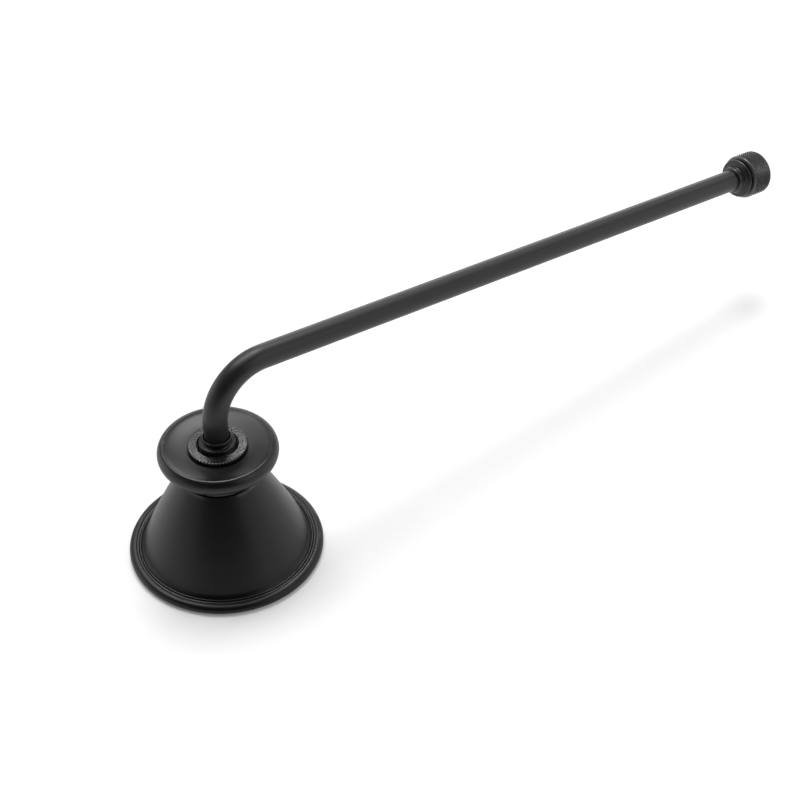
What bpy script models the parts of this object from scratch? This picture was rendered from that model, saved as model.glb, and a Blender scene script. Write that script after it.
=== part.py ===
"""Candle snuffer: a turned bell with a beaded rim and a dished cap, on a bent handle with a knob.

Metres, +Z up. The bell stands on its rim at z = 0 and the handle runs towards +X. Turned pieces are
profiles of (radius, height) spun about their own axis. The origin is under the middle of the whole
snuffer, on the surface that it stands on.
"""
import math

import bmesh
import bpy
from mathutils import Matrix

MM = 0.001
GAP = 0.3 * MM  # clearance between pieces that touch or run in each other

# Bell
RIM_RADIUS = 24.1 * MM
RIM_EDGE_RADIUS = 0.84 * MM
RIM_EDGE_HEIGHT = 1.1 * MM  # height of the middle of the rounded outer edge
RIM_FOOT_WIDTH = 2.2 * MM
RIM_BEAD_RADIUS = 0.56 * MM
RIM_BEAD_INSET = 1.36 * MM  # from the rim's outside to the middle of the large bead
FINE_BEAD_RADIUS = 0.32 * MM
FINE_BEAD_INSETS = (2.2 * MM, 2.84 * MM)
FINE_BEAD_STEP = 0.08 * MM  # each fine bead stands this much higher than the last bead
CONE_FOOT_INSET = 3.6 * MM
CONE_FOOT_HEIGHT = 2.9 * MM
NECK_RADIUS = 9.6 * MM
BELL_HEIGHT = 25.2 * MM
CONE_BULGE = 0.42 * MM
BELL_WALL = 2.2 * MM
TOP_PLATE = 2.0 * MM

# Cap on the bell's neck
CAP_HEIGHT = 8.5 * MM
CAP_LIP_RADIUS = 14.59 * MM
CAP_CREST_RADIUS = 12.8 * MM
CAP_LIP_RISE = 2.1 * MM  # from the widest point of the lip up to its crest
CAP_LIP_SHOULDER = 0.8 * MM  # width of the rounded shoulder outside the crest
CAP_LIP_FALL = 0.25 * MM  # from the crest down to the shoulder
CAP_LIP_UNDERSIDE = 2.34 * MM
CAP_CREST_LAND = 0.1 * MM
DISH_DEPTH = 1.0 * MM  # below the crest, round the ring nut
DISH_EDGE_DEPTH = 0.45 * MM  # below the crest, at the foot of the dish's edge
DISH_FILLET = 0.7 * MM
NECK_RING_HEIGHT = 1.1 * MM
NECK_RING_STEP = 0.45 * MM

# Sleeve, ring nut and hardware that clamp the cap to the bell
NIPPLE_RADIUS = 4.5 * MM
NIPPLE_TAIL = 0.6 * MM
RING_NUT_RADIUS = 7.3 * MM
RING_NUT_THICKNESS = 0.8 * MM
RING_NUT_CHAMFER = 0.45 * MM
RING_NUT_THREAD_GAP = 0.43 * MM
RING_NUT_TEETH = 44
RING_NUT_TOOTH_DEPTH = 0.25 * MM
INNER_WASHER_THICKNESS = 0.8 * MM
INNER_WASHER_EDGE_GAP = 0.5 * MM
LOCK_NUT_THICKNESS = 2.5 * MM
NUT_RIM = 1.6 * MM  # metal between a nut's hole clearance line and its flats

# Handle
TUBE_RADIUS = 3.0 * MM
TUBE_WALL = 0.8 * MM
STEM_RISE = 7.82 * MM  # upright stretch above the cap's floor
BEND_RADIUS = 12.76 * MM
BEND_ANGLE = math.radians(96.63)
HANDLE_LENGTH = 161.4 * MM  # straight stretch after the bend
COLLAR_RADIUS = 4.45 * MM
COLLAR_HEIGHT = 2.3 * MM
COLLAR_BEAD = 0.65 * MM  # how far the bead stands out from the tube
FOOT_WASHER_THICKNESS = 0.6 * MM
FOOT_WASHER_INSET = 0.2 * MM
FOOT_NUT_THICKNESS = 2.4 * MM
STUD_GRIP = 12.0 * MM  # length of each stud inside the tube
STUD_TAIL = 0.8 * MM

# Ferrule and knob at the handle's end
FERRULE_LENGTH = 2.8 * MM
FERRULE_BEAD = 0.7 * MM  # how far the bead stands out from the tube
FERRULE_COVE = 0.4 * MM  # how far the cove's floor stands out from the tube
FLANGE_RADIUS = 5.4 * MM
FLANGE_THICKNESS = 0.6 * MM
KNOB_RADIUS = 6.27 * MM
KNOB_LENGTH = 7.0 * MM
KNOB_NEAR_EDGE = 0.75 * MM
KNOB_NEAR_EDGE_LENGTH = 1.25 * MM
KNOB_FAR_EDGE = 1.35 * MM
KNOB_GROOVE = 0.8 * MM  # open gap between the flange and the knob's near rim
KNOB_LAND = 0.6 * MM  # flat rim round the washer's recess
KNOB_WASHER_THICKNESS = 0.6 * MM
KNOB_END_WALL = 2.2 * MM
KNURL_DEPTH = 0.22 * MM
KNURL_COLUMNS = 48
KNURL_ROWS = 8

BELL_SIDES = 52
SMALL_SIDES = 32
TUBE_SIDES = 24
BEND_STEPS = 12

# Places that follow from the sizes above
CAP_BASE = BELL_HEIGHT + GAP
DISH_FLOOR = CAP_BASE + CAP_HEIGHT - DISH_DEPTH
RING_NUT_BASE = DISH_FLOOR + GAP
NIPPLE_TOP = RING_NUT_BASE + RING_NUT_THICKNESS
INNER_WASHER_BASE = BELL_HEIGHT - TOP_PLATE - GAP - INNER_WASHER_THICKNESS
LOCK_NUT_BASE = INNER_WASHER_BASE - GAP - LOCK_NUT_THICKNESS
NIPPLE_BASE = LOCK_NUT_BASE - NIPPLE_TAIL
COLLAR_BASE = NIPPLE_TOP + GAP
TUBE_FOOT = NIPPLE_BASE - GAP
FOOT_WASHER_BASE = TUBE_FOOT - GAP - FOOT_WASHER_THICKNESS
FOOT_NUT_BASE = FOOT_WASHER_BASE - GAP - FOOT_NUT_THICKNESS
BEND_START = DISH_FLOOR + STEM_RISE
NIPPLE_HOLE_RADIUS = NIPPLE_RADIUS + GAP
TUBE_HOLE_RADIUS = TUBE_RADIUS + GAP
STUD_RADIUS = TUBE_RADIUS - TUBE_WALL - GAP
STUD_HOLE_RADIUS = STUD_RADIUS + GAP

# Places along the handle, from the end of its tube
FERRULE_START = GAP
FERRULE_END = FERRULE_START + FERRULE_LENGTH
KNOB_START = FERRULE_END + KNOB_GROOVE
KNOB_END = KNOB_START + KNOB_LENGTH
KNOB_WASHER_START = FERRULE_END + GAP
KNOB_RECESS_FLOOR = KNOB_WASHER_START + KNOB_WASHER_THICKNESS + GAP
KNOB_RECESS_RADIUS = KNOB_RADIUS - KNOB_NEAR_EDGE - KNOB_LAND
KNOB_WASHER_RADIUS = KNOB_RECESS_RADIUS - GAP
KNOB_BORE_END = KNOB_END - KNOB_END_WALL


def arc(centre, radii, start, end, steps):
    """Points of an elliptical arc in a profile; angles in degrees from +radius towards +height."""
    points = []
    for step in range(steps + 1):
        angle = math.radians(start + (end - start) * step / steps)
        points.append((centre[0] + radii[0] * math.cos(angle), centre[1] + radii[1] * math.sin(angle)))
    return points


def material(name, colour, roughness, metallic):
    """Make a plain Principled material."""
    made = bpy.data.materials.new(name)
    made.use_nodes = True
    shader = made.node_tree.nodes["Principled BSDF"]
    shader.inputs["Base Color"].default_value = (*colour, 1.0)
    shader.inputs["Roughness"].default_value = roughness
    shader.inputs["Metallic"].default_value = metallic
    return made


def black_coat(name):
    """Matte black coating of the outer pieces."""
    return material(name, (0.018, 0.018, 0.019), 0.5, 0.4)


def black_oxide(name):
    """Blackened steel of the sleeve, whose top can be seen round the handle's foot."""
    return material(name, (0.03, 0.03, 0.03), 0.45, 0.8)


def zinc_plate(name):
    """Dull zinc of the hidden hardware."""
    return material(name, (0.42, 0.42, 0.40), 0.4, 0.9)


def finish(name, bm, look, parent, height=0.0):
    """Close a piece's mesh, shade it smooth with crisp edges, and hang it on its parent."""
    bmesh.ops.remove_doubles(bm, verts=bm.verts, dist=1e-6)
    bmesh.ops.recalc_face_normals(bm, faces=bm.faces)
    mesh = bpy.data.meshes.new(name)
    bm.to_mesh(mesh)
    bm.free()
    mesh.shade_smooth()
    mesh.set_sharp_from_angle(angle=math.radians(35))
    mesh.materials.append(look)
    piece = bpy.data.objects.new(name, mesh)
    piece.parent = parent
    piece.location.z = height
    bpy.context.scene.collection.objects.link(piece)
    return piece


def spun(outline, sides):
    """Spin a closed profile of (radius, height) points a full turn about the Z axis."""
    bm = bmesh.new()
    verts = [bm.verts.new((radius, 0.0, height)) for radius, height in outline]
    edges = [bm.edges.new((verts[i - 1], verts[i])) for i in range(len(verts))]
    bmesh.ops.spin(bm, geom=verts + edges, cent=(0, 0, 0), axis=(0, 0, 1), angle=math.tau,
                   steps=sides, use_merge=True, use_duplicate=False)
    return bm


def washer(name, outer, hole, thickness, look, parent, height):
    """Flat ring."""
    outline = [(hole, 0.0), (outer, 0.0), (outer, thickness), (hole, thickness)]
    return finish(name, spun(outline, SMALL_SIDES), look, parent, height)


def hex_nut(name, hole, thickness, look, parent, height):
    """Hexagon nut, its corners turned down to a cone on both faces."""
    flats = hole + NUT_RIM
    corner = flats / math.cos(math.pi / 6)
    chamfer = corner - flats
    bm = bmesh.new()
    rings = []
    for radius, level in ((flats, 0.0), (corner, chamfer), (corner, thickness - chamfer), (flats, thickness)):
        # at the end faces the ring is round, on the flats between them it is a hexagon
        ring = []
        for step in range(24):
            angle = math.tau * step / 24
            to_flat = (angle % (math.pi / 3)) - math.pi / 6
            hexagon = flats / math.cos(to_flat)
            reach = min(radius, hexagon)
            ring.append(bm.verts.new((reach * math.cos(angle), reach * math.sin(angle), level)))
        rings.append(ring)
    bore = [[bm.verts.new((hole * math.cos(math.tau * i / 24), hole * math.sin(math.tau * i / 24), level))
             for i in range(24)] for level in (thickness, 0.0)]
    loops = rings + bore
    for lower, upper in zip(loops, loops[1:] + loops[:1]):
        for i in range(24):
            bm.faces.new((lower[i - 1], lower[i], upper[i], upper[i - 1]))
    return finish(name, bm, look, parent, height)


def cone_arc():
    """Centre, radius and end angles of the arc that the bell's domed flank follows."""
    foot = (RIM_RADIUS - CONE_FOOT_INSET, CONE_FOOT_HEIGHT)
    top = (NECK_RADIUS, BELL_HEIGHT)
    chord = math.dist(foot, top)
    radius = (chord * chord / 4 + CONE_BULGE * CONE_BULGE) / (2 * CONE_BULGE)
    outward = ((top[1] - foot[1]) / chord, (foot[0] - top[0]) / chord)
    reach = radius - CONE_BULGE
    centre = ((foot[0] + top[0]) / 2 - outward[0] * reach, (foot[1] + top[1]) / 2 - outward[1] * reach)
    start = math.degrees(math.atan2(foot[1] - centre[1], foot[0] - centre[0]))
    end = math.degrees(math.atan2(top[1] - centre[1], top[0] - centre[0]))
    return centre, radius, start, end


def ceiling_radius():
    """Radius of the bell's inside at the underside of its top plate."""
    centre, radius, _, _ = cone_arc()
    inside = radius - BELL_WALL
    rise = BELL_HEIGHT - TOP_PLATE - centre[1]
    return centre[0] + math.sqrt(inside * inside - rise * rise)


def bell(parent):
    """Hollow bell: flat foot, rounded edge, one large and two fine beads, cove, domed cone, top plate."""
    edge_centre = (RIM_RADIUS - RIM_EDGE_RADIUS, RIM_EDGE_HEIGHT)
    edge = (RIM_EDGE_RADIUS, RIM_EDGE_RADIUS)
    foot_outside = edge_centre[0] + RIM_EDGE_RADIUS * 0.3
    outline = [(foot_outside - RIM_FOOT_WIDTH, 0.0), (foot_outside, 0.0)]
    outline += arc(edge_centre, edge, -50, 85, 5)
    level = RIM_EDGE_HEIGHT + RIM_EDGE_RADIUS
    bead = (RIM_BEAD_RADIUS, RIM_BEAD_RADIUS)
    outline += arc((RIM_RADIUS - RIM_BEAD_INSET, level), bead, 15, 150, 4)
    fine = (FINE_BEAD_RADIUS, FINE_BEAD_RADIUS)
    crown = level + RIM_BEAD_RADIUS
    for inset in FINE_BEAD_INSETS:
        crown += FINE_BEAD_STEP
        outline += arc((RIM_RADIUS - inset, crown - FINE_BEAD_RADIUS), fine, 10, 165, 3)
    centre, radius, start, end = cone_arc()
    outline += arc(centre, (radius, radius), start, end, 6)
    outline.append((NIPPLE_HOLE_RADIUS, BELL_HEIGHT))
    ceiling = BELL_HEIGHT - TOP_PLATE
    outline.append((NIPPLE_HOLE_RADIUS, ceiling))
    inside = radius - BELL_WALL
    high = math.degrees(math.asin((ceiling - centre[1]) / inside))
    outline += arc(centre, (inside, inside), high, start, 4)
    return finish("bell", spun(outline, BELL_SIDES), black_coat("bell"), parent)


def bell_cap(parent):
    """Cap: neck ring, cove, thick rounded lip, and a dish in its top."""
    crest = CAP_HEIGHT
    widest = crest - CAP_LIP_RISE
    lip_middle = CAP_LIP_RADIUS - CAP_LIP_UNDERSIDE
    lip_bottom = widest - CAP_LIP_UNDERSIDE
    ring_step = NECK_RADIUS - NECK_RING_STEP
    cove = (lip_middle - ring_step, lip_bottom - NECK_RING_HEIGHT)
    floor = crest - DISH_DEPTH
    outline = [(NIPPLE_HOLE_RADIUS, 0.0), (ring_step, 0.0)]
    outline += arc((ring_step, NECK_RING_HEIGHT / 2), (NECK_RING_STEP, NECK_RING_HEIGHT / 2), -60, 60, 3)
    outline += arc((lip_middle, NECK_RING_HEIGHT), cove, 180, 95, 4)
    outline += arc((lip_middle, widest), (CAP_LIP_UNDERSIDE, CAP_LIP_UNDERSIDE), -80, 0, 4)
    shoulder = (CAP_LIP_SHOULDER, CAP_LIP_RISE - CAP_LIP_FALL)
    outline += arc((CAP_LIP_RADIUS - CAP_LIP_SHOULDER, widest), shoulder, 20, 83, 3)
    outline.append((CAP_CREST_RADIUS, crest))
    land = CAP_CREST_RADIUS - CAP_CREST_LAND
    outline += arc((land - DISH_FILLET, crest), (DISH_FILLET, DISH_EDGE_DEPTH), 0, -90, 3)
    outline += [(RING_NUT_RADIUS + GAP, floor), (NIPPLE_HOLE_RADIUS, floor)]
    return finish("bell_cap", spun(outline, BELL_SIDES), black_coat("bell_cap"), parent, CAP_BASE)


def ring_nut(parent):
    """Flat ring nut: each second column of its edge is cut back, which leaves square teeth."""
    hole = NIPPLE_RADIUS + RING_NUT_THREAD_GAP
    top = RING_NUT_THICKNESS
    face = RING_NUT_RADIUS - RING_NUT_CHAMFER
    edge_top = top - RING_NUT_CHAMFER
    lead = RING_NUT_CHAMFER / 2
    outline = [(hole, 0.0), (RING_NUT_RADIUS - lead, 0.0), (RING_NUT_RADIUS, lead),
               (RING_NUT_RADIUS, edge_top), (face, top), (hole + lead, top), (hole, top - lead)]
    bm = spun(outline, RING_NUT_TEETH * 2)
    for vert in bm.verts:
        column = round(math.atan2(vert.co.y, vert.co.x) / math.tau * RING_NUT_TEETH * 2)
        if column % 2 and math.isclose(math.hypot(vert.co.x, vert.co.y), RING_NUT_RADIUS, rel_tol=1e-5):
            shrink = 1 - RING_NUT_TOOTH_DEPTH / RING_NUT_RADIUS
            vert.co.x *= shrink
            vert.co.y *= shrink
    return finish("ring_nut", bm, black_coat("ring_nut"), parent, RING_NUT_BASE)


def head_hardware(parent):
    """Sleeve through the bell and cap, with the washer and nut that clamp it inside the bell."""
    length = NIPPLE_TOP - NIPPLE_BASE
    washer("threaded_nipple", NIPPLE_RADIUS, TUBE_HOLE_RADIUS, length, black_oxide("threaded_nipple"),
           parent, NIPPLE_BASE)
    washer("inner_washer", ceiling_radius() - INNER_WASHER_EDGE_GAP, NIPPLE_HOLE_RADIUS,
           INNER_WASHER_THICKNESS, zinc_plate("inner_washer"), parent, INNER_WASHER_BASE)
    hex_nut("lock_nut", NIPPLE_HOLE_RADIUS, LOCK_NUT_THICKNESS, zinc_plate("lock_nut"), parent,
            LOCK_NUT_BASE)


def stem_collar(parent):
    """Turned collar at the handle's foot: base ring, cove and bead."""
    bead = TUBE_RADIUS + COLLAR_BEAD
    shoulder = COLLAR_HEIGHT * 0.3
    waist = COLLAR_HEIGHT * 0.5
    ring_round = (COLLAR_RADIUS - bead) / 2
    outline = [(TUBE_HOLE_RADIUS, 0.0), (COLLAR_RADIUS - ring_round / 2, 0.0), (COLLAR_RADIUS, ring_round / 2)]
    outline += arc((COLLAR_RADIUS - ring_round, shoulder - ring_round), (ring_round, ring_round), 0, 90, 3)
    outline.append((bead - COLLAR_BEAD * 0.25, waist))
    outline += arc((TUBE_HOLE_RADIUS, COLLAR_HEIGHT * 0.76), (bead - TUBE_HOLE_RADIUS, COLLAR_HEIGHT * 0.22),
                   -45, 80, 4)
    outline.append((TUBE_HOLE_RADIUS, COLLAR_HEIGHT))
    return finish("stem_collar", spun(outline, SMALL_SIDES), black_coat("stem_collar"), parent, COLLAR_BASE)


def handle_path():
    """Stations of the handle's middle line: (x, z, lean from upright), foot to far end."""
    stations = [(0.0, TUBE_FOOT, 0.0)]
    for step in range(BEND_STEPS + 1):
        lean = BEND_ANGLE * step / BEND_STEPS
        x = BEND_RADIUS * (1 - math.cos(lean))
        z = BEND_START + BEND_RADIUS * math.sin(lean)
        stations.append((x, z, lean))
    x, z, lean = stations[-1]
    stations.append((x + HANDLE_LENGTH * math.sin(lean), z + HANDLE_LENGTH * math.cos(lean), lean))
    return stations


def handle_tube(parent):
    """Round tube swept along the handle's path, open at both ends."""
    bm = bmesh.new()
    skins = []
    for radius in (TUBE_RADIUS, TUBE_RADIUS - TUBE_WALL):
        rings = []
        for x, z, lean in handle_path():
            ring = []
            for side in range(TUBE_SIDES):
                angle = math.tau * side / TUBE_SIDES
                along = radius * math.cos(angle)
                ring.append(bm.verts.new((x + along * math.cos(lean), radius * math.sin(angle),
                                          z - along * math.sin(lean))))
            rings.append(ring)
        skins.append(rings)
    outer, inner = skins
    loops = outer + inner[::-1]
    for near, far in zip(loops, loops[1:] + loops[:1]):
        for side in range(TUBE_SIDES):
            bm.faces.new((near[side - 1], near[side], far[side], far[side - 1]))
    return finish("handle_tube", bm, black_coat("handle_tube"), parent)


def stud(name, start, end, parent):
    """Plain round stud with chamfered ends, along its parent's Z axis."""
    lead = STUD_RADIUS / 4
    outline = [(0.0, start), (STUD_RADIUS - lead, start), (STUD_RADIUS, start + lead),
               (STUD_RADIUS, end - lead), (STUD_RADIUS - lead, end), (0.0, end)]
    return finish(name, spun(outline, SMALL_SIDES // 2), zinc_plate(name), parent)


def foot_hardware(parent):
    """Stud in the tube's foot, with the washer and nut that keep the handle in the sleeve."""
    stud("foot_stud", FOOT_NUT_BASE - STUD_TAIL, TUBE_FOOT + STUD_GRIP, parent)
    washer("foot_washer", NIPPLE_RADIUS - FOOT_WASHER_INSET, STUD_HOLE_RADIUS, FOOT_WASHER_THICKNESS,
           zinc_plate("foot_washer"), parent, FOOT_WASHER_BASE)
    hex_nut("foot_nut", STUD_HOLE_RADIUS, FOOT_NUT_THICKNESS, zinc_plate("foot_nut"), parent, FOOT_NUT_BASE)


def end_ferrule(parent):
    """Ferrule between tube and knob: bead, cove, and a flange that flares out to the knob."""
    bead = TUBE_RADIUS + FERRULE_BEAD
    cove = TUBE_RADIUS + FERRULE_COVE
    bead_half = FERRULE_LENGTH * 0.22
    flange_start = FERRULE_LENGTH - FLANGE_THICKNESS
    bead_top = bead_half * 2
    outline = [(STUD_HOLE_RADIUS, 0.0), (TUBE_RADIUS - TUBE_WALL / 2, 0.0)]
    outline += arc((cove, bead_half), (bead - cove, bead_half), -75, 75, 4)
    outline.append((cove, bead_top))
    flare = (FLANGE_RADIUS - cove, flange_start - bead_top)
    outline += arc((FLANGE_RADIUS, bead_top), flare, 160, 95, 3)
    outline += arc((FLANGE_RADIUS - FLANGE_THICKNESS / 2, FERRULE_LENGTH - FLANGE_THICKNESS / 2),
                   (FLANGE_THICKNESS / 2, FLANGE_THICKNESS / 2), -50, 90, 4)
    outline.append((STUD_HOLE_RADIUS, FERRULE_LENGTH))
    return finish("end_ferrule", spun(outline, SMALL_SIDES), black_coat("end_ferrule"), parent,
                  FERRULE_START)


def knob(parent):
    """Finger knob: recess for its washer, blind bore, rounded edges, and a diamond knurl round it."""
    recess = KNOB_RECESS_FLOOR - KNOB_START
    far = KNOB_LENGTH
    band_start = KNOB_NEAR_EDGE_LENGTH
    band_end = far - KNOB_FAR_EDGE
    outline = [(STUD_HOLE_RADIUS, KNOB_BORE_END - KNOB_START), (STUD_HOLE_RADIUS, recess),
               (KNOB_RECESS_RADIUS, recess), (KNOB_RECESS_RADIUS, 0.0)]
    outline += arc((KNOB_RADIUS - KNOB_NEAR_EDGE, band_start), (KNOB_NEAR_EDGE, band_start), -90, -20, 3)
    for row in range(KNURL_ROWS + 1):
        outline.append((KNOB_RADIUS, band_start + (band_end - band_start) * row / KNURL_ROWS))
    outline += arc((KNOB_RADIUS - KNOB_FAR_EDGE, band_end), (KNOB_FAR_EDGE, KNOB_FAR_EDGE), 25, 90, 3)
    outline += [(0.0, far), (0.0, KNOB_BORE_END - KNOB_START)]
    bm = spun(outline, KNURL_COLUMNS)
    shrink = 1 - KNURL_DEPTH / KNOB_RADIUS
    for vert in bm.verts:
        if math.isclose(math.hypot(vert.co.x, vert.co.y), KNOB_RADIUS, rel_tol=1e-5):
            column = round(math.atan2(vert.co.y, vert.co.x) / math.tau * KNURL_COLUMNS)
            row = round((vert.co.z - band_start) / (band_end - band_start) * KNURL_ROWS)
            if (column + row) % 2:
                vert.co.x *= shrink
                vert.co.y *= shrink
    return finish("knob", bm, black_coat("knob"), parent, KNOB_START)


def handle_end(parent):
    """Ferrule, stud, washer and knob on an empty at the tube's end, whose Z runs along the handle."""
    x, z, lean = handle_path()[-1]
    end = bpy.data.objects.new("handle_end", None)
    end.parent = parent
    end.matrix_local = Matrix.Translation((x, 0.0, z)) @ Matrix.Rotation(lean, 4, "Y")
    bpy.context.scene.collection.objects.link(end)
    end_ferrule(end)
    stud("end_stud", -STUD_GRIP, KNOB_BORE_END - GAP, end)
    rubber = material("knob_washer", (0.012, 0.012, 0.012), 0.8, 0.0)
    washer("knob_washer", KNOB_WASHER_RADIUS, STUD_HOLE_RADIUS, KNOB_WASHER_THICKNESS, rubber, end,
           KNOB_WASHER_START)
    knob(end)


def centre_along_x(root):
    """Move the whole snuffer so that its extent along X is centred on the origin."""
    bpy.context.view_layer.update()
    reach = [(piece.matrix_world @ vert.co).x for piece in bpy.data.objects if piece.type == "MESH"
             for vert in piece.data.vertices]
    root.location.x = -(min(reach) + max(reach)) / 2


def main():
    for leftover in list(bpy.data.objects):
        bpy.data.objects.remove(leftover, do_unlink=True)
    root = bpy.data.objects.new("snuffer", None)
    bpy.context.scene.collection.objects.link(root)
    bell(root)
    bell_cap(root)
    ring_nut(root)
    head_hardware(root)
    stem_collar(root)
    handle_tube(root)
    foot_hardware(root)
    handle_end(root)
    centre_along_x(root)


main()
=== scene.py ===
"""Candle snuffer: the turned, knurled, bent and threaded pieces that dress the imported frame.

Profiles are (radius, height) in millimetres about each piece's own axis. A piece is made there and
then put in its place in metres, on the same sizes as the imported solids.
"""
import math

import bmesh
import bpy
from mathutils import Matrix, Vector


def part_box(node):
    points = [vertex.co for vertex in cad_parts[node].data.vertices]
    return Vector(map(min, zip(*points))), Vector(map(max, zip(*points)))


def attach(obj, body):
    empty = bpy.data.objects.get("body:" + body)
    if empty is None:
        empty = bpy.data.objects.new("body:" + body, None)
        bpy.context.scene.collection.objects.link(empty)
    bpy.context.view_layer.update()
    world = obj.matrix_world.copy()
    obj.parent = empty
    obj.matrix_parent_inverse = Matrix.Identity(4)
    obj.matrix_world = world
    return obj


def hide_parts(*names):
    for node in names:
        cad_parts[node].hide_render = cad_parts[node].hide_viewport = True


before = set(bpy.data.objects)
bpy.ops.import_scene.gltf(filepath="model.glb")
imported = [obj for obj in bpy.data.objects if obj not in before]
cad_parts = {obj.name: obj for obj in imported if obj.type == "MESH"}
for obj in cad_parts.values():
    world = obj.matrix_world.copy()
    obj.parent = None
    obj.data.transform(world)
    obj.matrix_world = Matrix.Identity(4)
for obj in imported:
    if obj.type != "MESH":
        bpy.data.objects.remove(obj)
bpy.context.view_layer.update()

# The handle's path in millimetres, from the height where its bend starts
BEND_START = 40.82
BEND_RADIUS = 12.76
BEND_ANGLE = math.radians(96.63)
HANDLE_LENGTH = 161.4

# Places along the handle, from the tube's end
END_STUD_START = -12
FERRULE_START = 0.3
RUBBER_WASHER_START = 3.4
KNOB_START = 3.9

# The bell's wall and top plate
WALL = 2.2
TOP_PLATE = 2.0

# Radii of the tube, the sleeve and the studs, and of the holes that take them
TUBE_RADIUS = 2.995
TUBE_BORE = 2.2
SLEEVE_RADIUS = 4.5
SLEEVE_BORE = 3.3
SLEEVE_HOLE = 4.8
STUD_RADIUS = 1.9
STUD_HOLE = 2.2

# Sides of the turned pieces, the distance under which two points of a mesh are one, and the nearest
# that a profile comes to its axis
LARGE_SIDES = 192
SMALL_SIDES = 96
SAME_POINT = 0.0005
NEAR_AXIS = 0.01


def base(node):
    """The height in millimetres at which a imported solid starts."""
    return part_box(node)[0].z * 1000


def tall(node):
    """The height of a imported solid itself, in millimetres."""
    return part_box(node)[1].z * 1000 - base(node)


def at(axis, distance):
    """The place at a distance in millimetres along an axis."""
    return axis @ Matrix.Translation((0, 0, distance / 1000))


def on_bell_axis(node):
    """The place on the bell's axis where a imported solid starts."""
    return at(UPRIGHT, base(node))


low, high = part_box("bell")
BELL_X = (low.x + high.x) / 2
UPRIGHT = Matrix.Translation((BELL_X, 0, 0))
END_X = BEND_RADIUS * (1 - math.cos(BEND_ANGLE)) + HANDLE_LENGTH * math.sin(BEND_ANGLE)
END_Z = BEND_START + BEND_RADIUS * math.sin(BEND_ANGLE) + HANDLE_LENGTH * math.cos(BEND_ANGLE)
TUBE_END = Matrix.Translation((END_X / 1000, 0, END_Z / 1000))
HANDLE_END = UPRIGHT @ TUBE_END @ Matrix.Rotation(BEND_ANGLE, 4, "Y")


class Tone:
    """A value that varies over a surface. Arithmetic on it adds Math nodes to its finish."""

    def __init__(self, finish, socket):
        self.finish = finish
        self.socket = socket

    def maths(self, operation, *values):
        return self.finish.node("ShaderNodeMath", {"operation": operation}, dict(enumerate(values)))

    def __add__(self, other):
        return self.maths("ADD", self, other)

    def __radd__(self, other):
        return self.maths("ADD", other, self)

    def __sub__(self, other):
        return self.maths("SUBTRACT", self, other)

    def __rsub__(self, other):
        return self.maths("SUBTRACT", other, self)

    def __mul__(self, other):
        return self.maths("MULTIPLY", self, other)


class Finish:
    """A surface finish: a Principled material whose nodes are built up from expressions."""

    def __init__(self, name, metallic=0.0, gloss=0.5):
        self.material = bpy.data.materials.new(name)
        self.material.use_nodes = True
        self.tree = self.material.node_tree
        self.shader = self.tree.nodes["Principled BSDF"]
        self.shader.inputs["Metallic"].default_value = metallic
        self.shader.inputs["Specular IOR Level"].default_value = gloss
        self.shader.inputs["Coat Roughness"].default_value = 0.2

    def feed(self, socket, value):
        if isinstance(value, Tone):
            self.tree.links.new(value.socket, socket)
        else:
            socket.default_value = value

    def node(self, kind, settings=None, sockets=None, output=0):
        """Add a node: its settings first, then the values or links of its sockets."""
        made = self.tree.nodes.new(kind)
        for key, value in (settings or {}).items():
            setattr(made, key, value)
        for key, value in (sockets or {}).items():
            self.feed(made.inputs[key], value)
        return Tone(self, made.outputs[output])

    def about(self, axis):
        """Object coordinates measured in metres from a piece's own axis."""
        coordinates = self.node("ShaderNodeTexCoord", output="Object")
        turn = axis.inverted()
        return self.node("ShaderNodeMapping", sockets={
            "Vector": coordinates, "Location": turn.to_translation(), "Rotation": turn.to_euler()})

    def noise(self, where, scale, detail=3, roughness=0.55):
        return self.node("ShaderNodeTexNoise", sockets={
            "Vector": where, "Scale": scale, "Detail": detail, "Roughness": roughness})

    def ramp(self, tone, first, last):
        """Spread a tone between two places: 0 up to the first, 1 from the last on."""
        return self.node("ShaderNodeMapRange", {"interpolation_type": "SMOOTHSTEP"},
                         {"Value": tone, "From Min": first, "From Max": last})

    def edges(self, first, last):
        """1 where the mesh turns sharply outward, 0 where it is flat or hollow."""
        return self.ramp(self.node("ShaderNodeNewGeometry", output="Pointiness"), first, last)

    def blend(self, tone, dark, light):
        return self.node("ShaderNodeMix", {"data_type": "RGBA"}, {0: tone, 6: dark, 7: light}, 2)

    def bump(self, height, strength, depth):
        return self.node("ShaderNodeBump", sockets={
            "Height": height, "Strength": strength, "Distance": depth})

    def done(self, colour, roughness, normal=None, polish=0.0):
        """Feed the shader; polish is the strength of a clear shine over it all."""
        self.feed(self.shader.inputs["Base Color"], colour)
        self.feed(self.shader.inputs["Roughness"], roughness)
        self.feed(self.shader.inputs["Coat Weight"], polish)
        if normal:
            self.feed(self.shader.inputs["Normal"], normal)
        return self.material


def grey(level):
    return (level, level, level, 1)


def satin_black(name, axis, roughness=0.38, gloss=0.3, light=0.006, edge_highlight_and_shine=1.0):
    """Satin black coat: faint orange peel, cloudy sheen, and fine edges with a painted highlight and a
    clear shine.

    The coat's lightest tone is light, and the last argument is how strongly its edges are painted
    lighter as a highlight and given a clear shine, from 0 to 1.
    """
    coat = Finish(name, gloss=gloss)
    where = coat.about(axis)
    cloud = coat.noise(where, 90)
    grain = coat.noise(where, 2400, 2)
    grit = coat.noise(where, 9000, 2)
    # The edge mask paints a highlight: it lightens the colour on outward edges, and it also lowers the
    # roughness and adds a clear coat there
    edge = coat.edges(0.508, 0.526) * edge_highlight_and_shine
    colour = coat.blend(cloud * 0.5 + grit * 0.3 + edge * 0.5, grey(light / 3), grey(light))
    sheen = roughness - 0.06 + cloud * 0.1 + grit * 0.04 - edge * 0.05
    return coat.done(colour, sheen, coat.bump(grain, 0.12, 0.00003), edge * 0.8)


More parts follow.
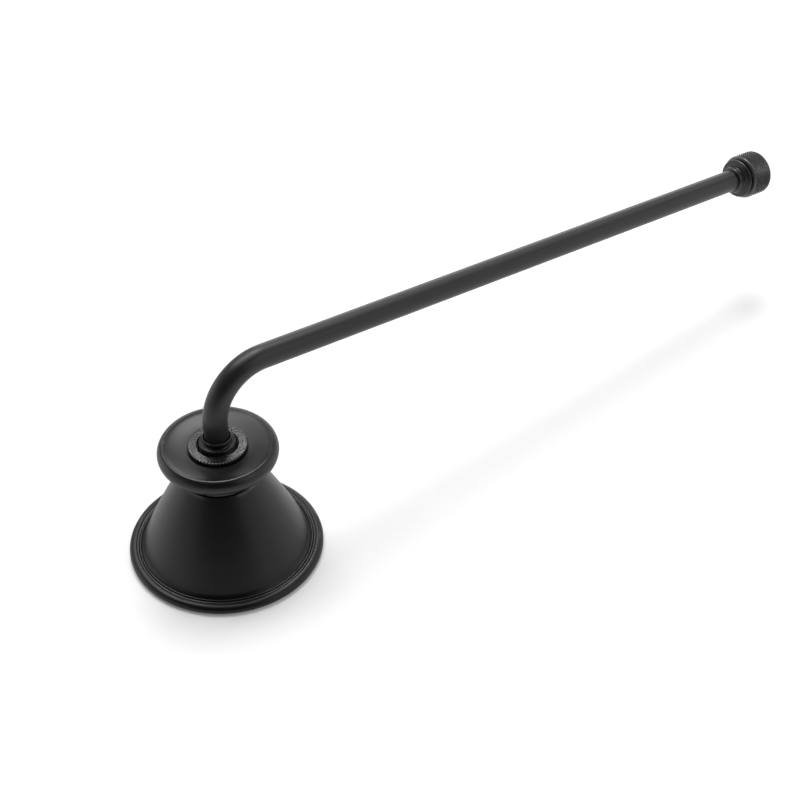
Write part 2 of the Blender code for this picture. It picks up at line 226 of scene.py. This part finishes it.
def sanded_black(name, axis):
    """Deep glossy black of the ring nut, over a coarse sanded grain."""
    coat = Finish(name, gloss=1.0)
    where = coat.about(axis)
    cloud = coat.noise(where, 500)
    grit = coat.noise(where, 2000, roughness=0.7)
    edge = coat.edges(0.52, 0.6)
    colour = coat.blend(cloud * 0.4 + grit * 0.4 + edge * 0.4, grey(0.002), grey(0.012))
    sheen = 0.09 + cloud * 0.06 + grit * 0.1
    return coat.done(colour, sheen, coat.bump(grit, 0.7, 0.0001), grit * 0.7)


def bright_zinc(name, axis):
    """Zinc plate: soft cloudy grey with a fine grain."""
    plate = Finish(name, metallic=1.0)
    where = plate.about(axis)
    cloud = plate.noise(where, 260)
    grain = plate.noise(where, 4000)
    colour = plate.blend(cloud, (0.33, 0.33, 0.31, 1), (0.55, 0.55, 0.53, 1))
    return plate.done(colour, 0.26 + cloud * 0.16 + grain * 0.06, plate.bump(grain, 0.15, 0.00002))


def black_oxide(name, axis):
    """Blackened steel, worn brighter along the thread's crests."""
    oxide = Finish(name, metallic=0.7)
    where = oxide.about(axis)
    cloud = oxide.noise(where, 400)
    edge = oxide.edges(0.53, 0.62)
    colour = oxide.blend(cloud * 0.4 + edge * 0.6, (0.012, 0.012, 0.013, 1), (0.09, 0.088, 0.085, 1))
    return oxide.done(colour, 0.5 - edge * 0.15 + cloud * 0.1, oxide.bump(cloud, 0.1, 0.00002))


def black_rubber(name, axis):
    """Dull black rubber."""
    rubber = Finish(name, gloss=0.3)
    where = rubber.about(axis)
    grain = rubber.noise(where, 3500)
    colour = rubber.blend(grain, grey(0.006), grey(0.014))
    return rubber.done(colour, 0.75 + grain * 0.15, rubber.bump(grain, 0.3, 0.00003))


def arc(centre, radii, start, end, steps):
    """Points of an elliptical arc in a profile; angles in degrees from +radius towards +height."""
    angles = [math.radians(start + (end - start) * step / steps) for step in range(steps + 1)]
    return [(centre[0] + radii[0] * math.cos(angle), centre[1] + radii[1] * math.sin(angle))
            for angle in angles]


def turned(outline, sides, rise=0.0):
    """Spin a profile a full turn about the Z axis; a rise along the axis makes a screw thread."""
    bm = bmesh.new()
    verts = [bm.verts.new((radius, 0.0, height)) for radius, height in outline]
    edges = [bm.edges.new(pair) for pair in zip(verts, verts[1:])]
    if not rise:
        edges.append(bm.edges.new((verts[-1], verts[0])))
    bmesh.ops.spin(bm, geom=verts + edges, cent=(0, 0, 0), axis=(0, 0, 1), angle=math.tau,
                   steps=sides, dvec=(0, 0, rise / sides), use_merge=not rise, use_duplicate=False)
    return bm


def finished_mesh(name, bm, finish):
    mesh = bpy.data.meshes.new(name)
    bm.to_mesh(mesh)
    bm.free()
    mesh.materials.append(finish)
    return mesh


def new_object(name, data):
    made = bpy.data.objects.new(name, data)
    bpy.context.scene.collection.objects.link(made)
    return made


def fit(name, bm, place, body, node, finish, crisp=35):
    """Close a mesh, put it in its place, and let it ride on its body in its node's stead.

    Edges that turn by more than crisp, in degrees, are sharp.
    """
    bmesh.ops.remove_doubles(bm, verts=bm.verts, dist=SAME_POINT)
    bmesh.ops.recalc_face_normals(bm, faces=bm.faces)
    bmesh.ops.transform(bm, matrix=place @ Matrix.Scale(0.001, 4), verts=bm.verts)
    mesh = finished_mesh(name, bm, finish)
    mesh.shade_smooth()
    mesh.set_sharp_from_angle(angle=math.radians(crisp))
    piece = new_object(name, mesh)
    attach(piece, body)
    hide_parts(node)


def fit_upright_zinc(name, bm, body, node):
    """Fit a zinc-plated piece on the bell's axis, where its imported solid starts."""
    fit(name, bm, on_bell_axis(node), body, node, bright_zinc(name + "_zinc", UPRIGHT))


def turned_bell():
    """Hollow bell: flat foot, a broad roll, two fine beads and a domed flank."""
    outline = arc((21.71, 0.4), (0.4, 0.4), 180, 270, 5) + arc((23.21, 0.3), (0.3, 0.3), -90, -60, 3)
    outline += arc((23.26, 1.1), (0.84, 0.84), -50, 0, 8)
    # The steps on the roll's crown are wider, so that the finish paints a highlight on it and makes it
    # shine
    outline += arc((22.6, 1.1), (1.5, 1.34), 5, 60, 10) + arc((22.6, 1.1), (1.5, 1.34), 71, 98, 3)
    outline += arc((21.93, 2.22), (0.35, 0.22), 5, 170, 8)
    outline += arc((21.32, 2.34), (0.23, 0.23), 10, 170, 10)
    # The flank bulges over the chord from its foot to its top, and the inside keeps to the same centre
    bulge = 0.42
    height = tall("bell")
    foot, top = Vector((20.5, 2.9)), Vector((9.6, height))
    chord = (top - foot).length
    radius = (chord * chord / 4 + bulge ** 2) / (2 * bulge)
    outward = Vector((top.y - foot.y, foot.x - top.x)) / chord
    centre = (foot + top) / 2 - outward * (radius - bulge)
    start = math.degrees(math.atan2(foot.y - centre.y, foot.x - centre.x))
    end = math.degrees(math.atan2(top.y - centre.y, top.x - centre.x))
    outline += arc(centre, (radius, radius), start, end, 40)
    ceiling = height - TOP_PLATE
    outline += [(SLEEVE_HOLE, height), (SLEEVE_HOLE, ceiling)]
    inside = radius - WALL
    corner = math.degrees(math.asin((ceiling - centre.y) / inside))
    outline += arc(centre, (inside, inside), corner, start, 30)
    # The bell's edges get a painted highlight and a shine
    fit("turned_bell", turned(outline, LARGE_SIDES), UPRIGHT, "head", "bell",
        satin_black("bell_coat", UPRIGHT, edge_highlight_and_shine=0.7))


def turned_cap():
    """Cap: neck ring, cove, rounded lip with a fine crest, a short ramp and a shallow dished floor."""
    outline = [(SLEEVE_HOLE, 0.0), (9.0, 0.0)] + arc((9.15, 0.55), (0.45, 0.55), -75, 75, 8)
    outline += arc((12.25, 1.1), (3.1, 2.96), 180, 95, 16)
    outline += arc((12.25, 6.4), (2.34, 2.34), -80, 0, 16)
    outline += arc((12.3, 6.4), (2.29, 2.48), 4, 60, 16)
    # The crest has few steps, so that the finish paints a highlight on it and makes it shine
    outline += arc((13.155, 8.13), (0.5, 0.5), 62, 115, 4)
    outline += [(12.45, 8.34), (12.25, 8.255), (12.05, 8.185), (11.5, 8.05), (10.4, 7.83), (9.0, 7.62),
                (7.6, 7.5), (SLEEVE_HOLE, 7.5)]
    fit("turned_cap", turned(outline, LARGE_SIDES), on_bell_axis("bell_cap"), "head", "bell_cap",
        satin_black("cap_coat", UPRIGHT, roughness=0.36, gloss=0.4))


def serrated_ring_nut():
    """Flat ring nut with fine square serrations round its edge and a chamfered hole."""
    radius, teeth, columns = 7.3, 54, 6
    groove = {2: 0.16, 3: 0.2, 4: 0.16}
    outline = [(4.93, 0.1), (5.03, 0.0), (7.18, 0.0), (radius, 0.12), (radius, 0.5), (7.22, 0.68),
               (7.05, 0.78), (6.95, 0.8), (5.13, 0.8), (4.93, 0.6)]
    bm = turned(outline, teeth * columns)
    for vert in bm.verts:
        column = round(math.atan2(vert.co.y, vert.co.x) / math.tau * teeth * columns) % columns
        if column in groove and vert.co.xy.length > 7.0:
            vert.co.xy *= 1 - groove[column] / radius
    fit("serrated_ring_nut", bm, on_bell_axis("ring_nut"), "ring_nut", "ring_nut",
        sanded_black("ring_nut_coat", UPRIGHT), crisp=30)


def threaded(radius, length, pitch, depth, sides, bore=0.0):
    """Screw thread along +Z from 0 with narrow flat crests and flat ends, round a bore or solid."""
    turns = int(length / pitch) - 1
    start = (length - (turns + 1) * pitch) / 2
    root = radius - depth
    outline = []
    for turn in range(turns):
        foot = start + turn * pitch
        outline += [(root, foot), (radius, foot + pitch * 0.42), (radius, foot + pitch * 0.58)]
    outline.append((root, start + turns * pitch))
    bm = turned(outline, sides, pitch)
    bmesh.ops.remove_doubles(bm, verts=bm.verts, dist=SAME_POINT)
    open_edges = [edge for edge in bm.edges if edge.is_boundary]
    for level in (0.0, length):
        # The ragged end of the thread is drawn in to its root, then flat to the bore or the axis
        edges = [edge for edge in open_edges if abs(edge.verts[0].co.z - level) < length / 2]
        for reach in (root, bore or NEAR_AXIS):
            made = bmesh.ops.extrude_edge_only(bm, edges=edges)["geom"]
            edges = [item for item in made if isinstance(item, bmesh.types.BMEdge) and item.is_boundary]
            for vert in {vert for edge in edges for vert in edge.verts}:
                vert.co.xy = vert.co.xy.normalized() * reach
                vert.co.z = level
    bmesh.ops.remove_doubles(bm, verts=bm.verts, dist=SAME_POINT)
    edges = [edge for edge in bm.edges if edge.is_boundary]
    if bore:
        bmesh.ops.bridge_loops(bm, edges=edges)
    else:
        bmesh.ops.holes_fill(bm, edges=edges)
    return bm


def stud(length):
    return threaded(STUD_RADIUS, length, pitch=0.7, depth=0.33, sides=40)


def washer(outer, hole, thickness, soften=0.1):
    """Flat ring with softened corners."""
    outline = [(hole, soften), (hole + soften, 0.0), (outer - soften, 0.0), (outer, soften),
               (outer, thickness - soften), (outer - soften, thickness), (hole + soften, thickness),
               (hole, thickness - soften)]
    return turned(outline, SMALL_SIDES)


def hexagon_nut(hole, flats, thickness):
    """Nut turned from the round with its corners chamfered, then cut flat on six sides."""
    corner = flats / math.cos(math.pi / 6)
    lead = corner - flats
    chamfer = 0.3
    bm = turned([(hole, chamfer), (hole + chamfer, 0.0), (flats, 0.0), (corner, lead),
                 (corner, thickness - lead), (flats, thickness), (hole + chamfer, thickness),
                 (hole, thickness - chamfer)], 120)
    for side in range(6):
        turn = math.pi / 3 * side + math.pi / 6
        outward = Vector((math.cos(turn), math.sin(turn), 0))
        cut = bmesh.ops.bisect_plane(bm, geom=bm.verts[:] + bm.edges[:] + bm.faces[:], dist=1e-6,
                                     plane_co=outward * flats, plane_no=outward, clear_outer=True)
        edges = [item for item in cut["geom_cut"] if isinstance(item, bmesh.types.BMEdge)]
        bmesh.ops.contextual_create(bm, geom=edges)
    return bm


def clamping_hardware():
    """Threaded sleeve through bell and cap, with its washer and nut inside the bell."""
    sleeve = threaded(SLEEVE_RADIUS, tall("threaded_nipple"), pitch=1.0, depth=0.5, sides=SMALL_SIDES,
                      bore=SLEEVE_BORE)
    fit("threaded_sleeve", sleeve, on_bell_axis("threaded_nipple"), "head", "threaded_nipple",
        black_oxide("sleeve_oxide", UPRIGHT))
    ring = washer(outer=7.71, hole=SLEEVE_HOLE, thickness=tall("inner_washer"))
    fit_upright_zinc("bell_washer", ring, "head", "inner_washer")
    nut = hexagon_nut(hole=SLEEVE_HOLE, flats=6.4, thickness=tall("lock_nut"))
    fit_upright_zinc("sleeve_nut", nut, "head", "lock_nut")


def foot_hardware():
    """Threaded stud in the handle's foot, with the washer and nut that hold it in its sleeve."""
    fit_upright_zinc("foot_screw", stud(tall("foot_stud")), "stem", "foot_stud")
    ring = washer(outer=4.3, hole=STUD_HOLE, thickness=tall("foot_washer"))
    fit_upright_zinc("handle_washer", ring, "stem", "foot_washer")
    nut = hexagon_nut(hole=STUD_HOLE, flats=3.8, thickness=tall("foot_nut"))
    fit_upright_zinc("handle_nut", nut, "stem", "foot_nut")


def turned_collar():
    """Collar at the handle's foot: base ring, cove and bead."""
    bore = 3.3
    outline = [(bore, 0.0), (4.3, 0.0)] + arc((4.25, 0.2), (0.2, 0.2), -80, 0, 5)
    outline += arc((4.05, 0.29), (0.4, 0.4), 12, 90, 8)
    outline += arc((4.02, 1.22), (0.55, 0.53), 265, 190, 8)
    outline += arc((3.3, 1.76), (0.37, 0.5), -40, 78, 14)
    outline.append((bore, 2.29))
    # The collar's edges get a faint painted highlight and shine
    coat = satin_black("collar_coat", UPRIGHT, roughness=0.25, edge_highlight_and_shine=0.3)
    fit("turned_collar", turned(outline, SMALL_SIDES), on_bell_axis("stem_collar"), "stem",
        "stem_collar", coat)


def drawn_ring(bm, faces, reach):
    """Draw a flat ring of faces out into a wall, and give the ring at its far end."""
    made = bmesh.ops.extrude_face_region(bm, geom=faces)["geom"]
    verts = [item for item in made if isinstance(item, bmesh.types.BMVert)]
    bmesh.ops.translate(bm, verts=verts, vec=reach)
    return [item for item in made if isinstance(item, bmesh.types.BMFace)]


def bent_tube():
    """Round tube: a ring drawn up for the foot, turned through the bend, then drawn out straight."""
    bm = bmesh.new()
    foot = base("handle_tube")
    for radius in (TUBE_RADIUS, TUBE_BORE):
        bmesh.ops.create_circle(bm, segments=64, radius=radius, matrix=Matrix.Translation((0, 0, foot)))
    bmesh.ops.bridge_loops(bm, edges=bm.edges[:])
    ring = drawn_ring(bm, bm.faces[:], (0, 0, BEND_START - foot))
    bend = bmesh.ops.spin(bm, geom=ring, cent=(BEND_RADIUS, 0, BEND_START), axis=(0, 1, 0),
                          angle=BEND_ANGLE, steps=48, use_merge=False)
    ring = [item for item in bend["geom_last"] if isinstance(item, bmesh.types.BMFace)]
    along = Vector((math.sin(BEND_ANGLE), 0, math.cos(BEND_ANGLE)))
    drawn_ring(bm, ring, along * HANDLE_LENGTH)
    # Both ends of the bend leave a ring of faces across the wall
    across = [face for face in bm.faces if sum(not edge.is_manifold for edge in face.edges) == 2]
    bmesh.ops.delete(bm, geom=across, context="FACES")
    # No painted edge highlight or edge shine here: on such long faces they would spread over the whole
    # handle
    coat = satin_black("tube_coat", HANDLE_END, roughness=0.4, gloss=0.43, light=0.014, edge_highlight_and_shine=0)
    fit("bent_tube", bm, UPRIGHT, "stem", "handle_tube", coat)


def turned_ferrule():
    """Ferrule at the handle's end: bead, cove, and a flange that flares out to the knob."""
    outline = [(STUD_HOLE, 0.0), (2.6, 0.0)] + arc((3.4, 0.62), (0.3, 0.6), -80, 80, 12) + [(3.42, 1.25)]
    outline += arc((5.4, 1.232), (2.0, 0.968), 172, 95, 16)
    outline += arc((5.1, 2.5), (0.3, 0.3), -50, 90, 10)
    outline.append((STUD_HOLE, 2.8))
    # The ferrule's edges get a faint painted highlight and shine
    coat = satin_black("ferrule_coat", HANDLE_END, roughness=0.34, gloss=0.4, light=0.016, edge_highlight_and_shine=0.3)
    fit("turned_ferrule", turned(outline, SMALL_SIDES), at(HANDLE_END, FERRULE_START), "stem",
        "end_ferrule", coat)


def end_hardware():
    """Threaded stud that the knob turns on, and the rubber washer behind the knob."""
    fit("knob_screw", stud(20.4), at(HANDLE_END, END_STUD_START), "stem", "end_stud",
        bright_zinc("knob_screw_zinc", HANDLE_END))
    rubber_washer = washer(outer=4.62, hole=STUD_HOLE, thickness=0.6, soften=0.15)
    fit("rubber_washer", rubber_washer, at(HANDLE_END, RUBBER_WASHER_START), "knob_washer",
        "knob_washer", black_rubber("washer_rubber", HANDLE_END))


def knurled_knob():
    """Finger knob: washer recess, blind bore, rounded ends and a fine diamond knurl."""
    radius, inner_radius, columns, depth = 6.27, 5.3, 96, 0.36
    near = arc((5.52, 1.25), (0.75, 1.25), -90, 0, 6)
    band = [(radius, 1.25 + 4.4 * row / 10) for row in range(1, 10)]
    far = arc((4.92, 5.65), (1.35, 1.34), 0, 90, 6)
    outline = [(STUD_HOLE, 4.8), (STUD_HOLE, 0.4), (4.92, 0.4), (4.92, 0.0)] + near + band + far
    outline += [(NEAR_AXIS, 6.99), (NEAR_AXIS, 4.8)]
    bm = turned(outline, columns)
    # Every other point on the outside is pressed in, less so towards both ends
    knurl = near[3:] + band + far[:4]
    rows = {round(height, 3): row for row, (_, height) in enumerate(knurl)}
    cut = set()
    for vert in bm.verts:
        row = rows.get(round(vert.co.z, 3))
        if row is None or vert.co.xy.length < inner_radius:
            continue
        cut.add(vert)
        column = round(math.atan2(vert.co.y, vert.co.x) / math.tau * columns)
        if (row + column) % 2:
            fade = min(1, (row + 1) / 3, (len(knurl) - row) / 4)
            vert.co.xy *= 1 - depth * fade / radius
    faces = [face for face in bm.faces if cut.issuperset(face.verts)]
    bmesh.ops.triangulate(bm, faces=faces, quad_method="SHORT_EDGE")
    # The knurl's crests get a painted highlight and a shine
    coat = satin_black("knob_coat", HANDLE_END, roughness=0.4, gloss=0.5, light=0.06, edge_highlight_and_shine=0.6)
    fit("knurled_knob", bm, at(HANDLE_END, KNOB_START), "knob", "knob", coat, crisp=25)


# The photograph's camera: angles in degrees, lens in millimetres, and its place in metres
CAMERA_YAW = 38.18
CAMERA_PITCH = 40.96
CAMERA_ROLL = 0.40
CAMERA_LENS = 80.21
CAMERA_PLACE = (BELL_X - 0.159337, -0.272875, 0.319021)

# Round soft lights on a dome: their height in degrees and width in metres, then watts by degrees round
# from the camera's side
LAMPS = {(10, 0.9): {60: 1.7, 100: 3.1, 140: 1.85, 180: 4.7, 220: 0.65, 260: 3.4, 300: 1.3},
         (40, 0.7): {60: 2.25, 100: 0.85, 140: 1.8, 220: 2.05},
         (62, 0.5): {120: 0.48, 180: 7.25, 240: 4.35},
         (82, 0.8): {200: 3.6}}
CAMERA_SIDE = -(90 + CAMERA_YAW)
DOME_RADIUS = 1.3
AIM = Vector((0, 0, 0.02))
FLOOR_SIZE = 6


def soft_light(height, turn, width, power):
    """Round lamp on the dome, turned towards the snuffer."""
    rise, turn = math.radians(height), math.radians(turn + CAMERA_SIDE)
    where = DOME_RADIUS * Vector((
        math.cos(turn) * math.cos(rise), math.sin(turn) * math.cos(rise), math.sin(rise)))
    lamp = bpy.data.lights.new("lamp", "AREA")
    lamp.shape = "DISK"
    lamp.size = width
    lamp.energy = power
    light = new_object("lamp", lamp)
    light.location = where
    light.rotation_mode = "QUATERNION"
    light.rotation_quaternion = (AIM - where).to_track_quat("-Z", "Y")


def studio():
    """White floor under a dome of soft lights, which leaves the camera's side dark."""
    bm = bmesh.new()
    bmesh.ops.create_grid(bm, x_segments=1, y_segments=1, size=FLOOR_SIZE)
    paper = Finish("white_paper", gloss=0.2)
    paper.shader.inputs["Emission Color"].default_value = grey(1)
    paper.shader.inputs["Emission Strength"].default_value = 0.13
    new_object("floor", finished_mesh("floor", bm, paper.done(grey(0.86), 0.9)))

    world = bpy.data.worlds.new("studio")
    bpy.context.scene.world = world
    world.use_nodes = True
    world.node_tree.nodes["Background"].inputs["Strength"].default_value = 0.0

    for (height, width), powers in LAMPS.items():
        for turn, power in powers.items():
            soft_light(height, turn, width, power)
    bpy.context.scene.view_settings.view_transform = "Standard"


def camera():
    """Camera at the photograph's angle and distance."""
    yaw, pitch = math.radians(CAMERA_YAW), math.radians(CAMERA_PITCH)
    ahead = Vector((math.sin(yaw) * math.cos(pitch), math.cos(yaw) * math.cos(pitch), -math.sin(pitch)))
    right = Vector((math.cos(yaw), -math.sin(yaw), 0))
    up = right.cross(ahead)
    tilt = Matrix.Rotation(math.radians(CAMERA_ROLL), 3, ahead)
    axes = Matrix((tilt @ right, tilt @ up, -ahead)).transposed()
    lens = bpy.data.cameras.new("camera")
    lens.sensor_width = 36
    lens.lens = CAMERA_LENS
    lens.clip_start = 0.01
    eye = new_object("camera", lens)
    eye.matrix_world = Matrix.Translation(CAMERA_PLACE) @ axes.to_4x4()
    bpy.context.scene.camera = eye


turned_bell()
turned_cap()
serrated_ring_nut()
clamping_hardware()
turned_collar()
bent_tube()
foot_hardware()
turned_ferrule()
end_hardware()
knurled_knob()
studio()
camera()

bpy.context.view_layer.update()
